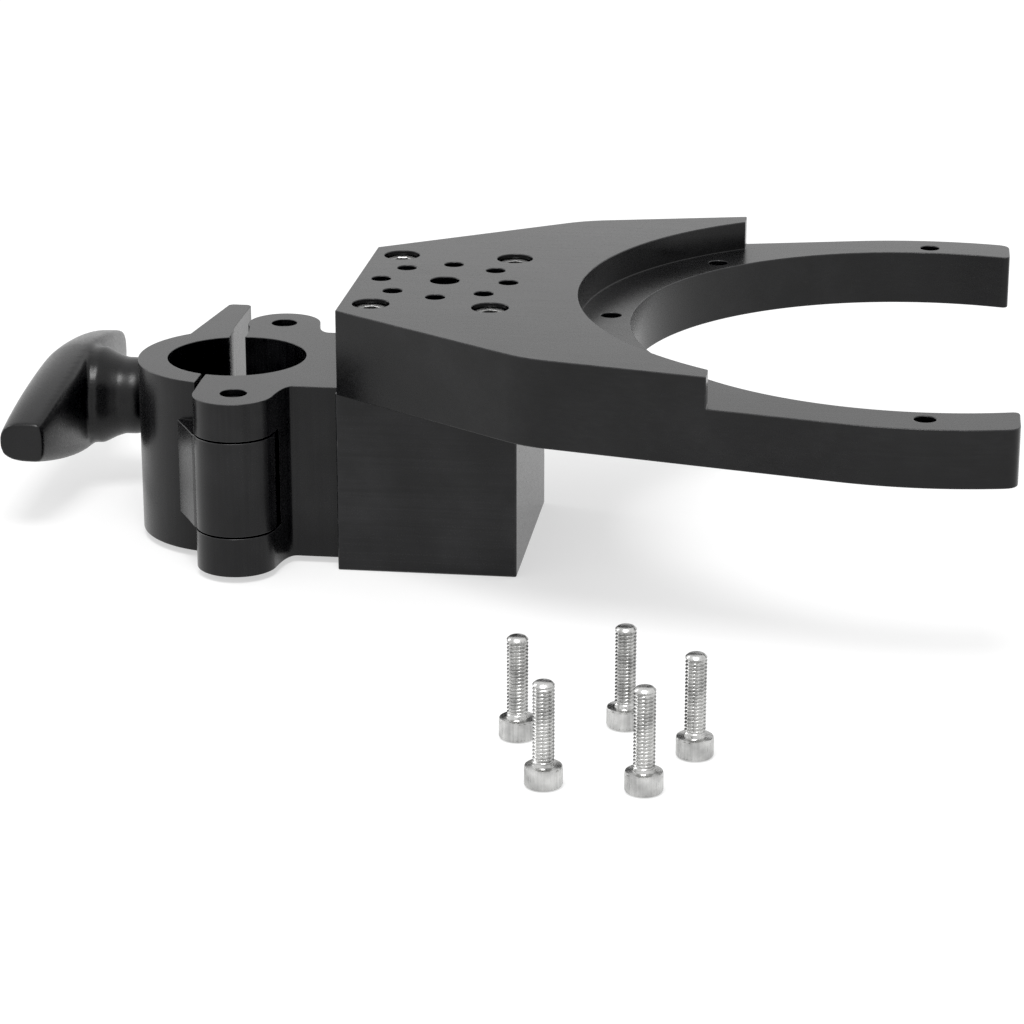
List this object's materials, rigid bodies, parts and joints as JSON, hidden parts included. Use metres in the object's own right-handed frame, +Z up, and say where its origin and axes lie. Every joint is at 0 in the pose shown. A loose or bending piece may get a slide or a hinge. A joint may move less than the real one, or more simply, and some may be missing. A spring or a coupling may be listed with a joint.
{
  "type": "pole clamp fork bracket",
  "caption": "Hinged pole clamp with a T-handle swing bolt, a riser block and a stepped C-shaped fork plate that seats a ring, with loose socket screws.",
  "frame": {"origin": "centre of the riser block's underside, the resting face, below the centre of the plate's hole circle", "axes": "+X towards the open end of the fork, away from the pole clamp; +Y towards the T-handle side; +Z up out of the plate's top face"},
  "size_m": [0.2186, 0.2094, 0.0576],
  "materials": {
    "black_anodised": "fine satin black anodising",
    "black_plastic": "moulded, slightly glossy",
    "stainless": "bright stainless, knurled heads",
    "dark_steel": "blackened",
    "brass": "turned"
  },
  "bodies": {
    "bracket": {"fork_plate": "black_anodised", "riser_block": "black_anodised", "clamp_body": "black_anodised", "hinge_pin": "dark_steel", "swing_bolt_pin": "dark_steel", "plate_screw_1": "stainless", "plate_screw_2": "stainless", "plate_screw_3": "stainless", "plate_screw_4": "stainless", "body_screw_1": "dark_steel", "body_screw_2": "dark_steel"},
    "jaw": {"clamp_jaw": "black_anodised"},
    "bolt": {"swing_bolt": "dark_steel"},
    "washer": {"thrust_washer": "stainless"},
    "handle": {"t_handle": "black_plastic", "handle_insert": "brass"},
    "screw_1": {"loose_screw_1": "stainless"},
    "screw_2": {"loose_screw_2": "stainless"},
    "screw_3": {"loose_screw_3": "stainless"},
    "screw_4": {"loose_screw_4": "stainless"},
    "screw_5": {"loose_screw_5": "stainless"}
  },
  "joints": [
    {"name": "bolt_swing", "type": "hinge", "parent": "bracket", "child": "bolt", "pos_m": [-0.0406, 0.0276, 0.0209], "axis": [0, 0, -1], "range_deg": [0, 135]},
    {"name": "jaw_open", "type": "hinge", "parent": "bracket", "child": "jaw", "pos_m": [-0.0406, -0.0276, 0.0203], "axis": [0, 0, 1], "range_deg": [0, 38]},
    {"name": "handle_travel", "type": "slide", "parent": "bolt", "child": "washer", "axis": [1, 0, 0], "range_m": [-0.0031, 0.0112]},
    {"name": "handle_turn", "type": "hinge", "parent": "washer", "child": "handle", "pos_m": [-0.072, 0.0276, 0.0209], "axis": [1, 0, 0], "range_deg": [-1080, 3960]},
    {"name": "lift_screw_1", "type": "slide", "parent": "bracket", "child": "screw_1", "axis": [0, 0, 1], "range_m": [0, 0.06]},
    {"name": "lift_screw_2", "type": "slide", "parent": "bracket", "child": "screw_2", "axis": [0, 0, 1], "range_m": [0, 0.06]},
    {"name": "lift_screw_3", "type": "slide", "parent": "bracket", "child": "screw_3", "axis": [0, 0, 1], "range_m": [0, 0.06]},
    {"name": "lift_screw_4", "type": "slide", "parent": "bracket", "child": "screw_4", "axis": [0, 0, 1], "range_m": [0, 0.06]},
    {"name": "lift_screw_5", "type": "slide", "parent": "bracket", "child": "screw_5", "axis": [0, 0, 1], "range_m": [0, 0.06]}
  ],
  "couplings": [
    {"joint": "jaw_open", "follows": "bolt_swing", "ratio": 0.28},
    {"joint": "handle_travel", "follows": "handle_turn", "m_per_rad": 0.00015915}
  ]
}
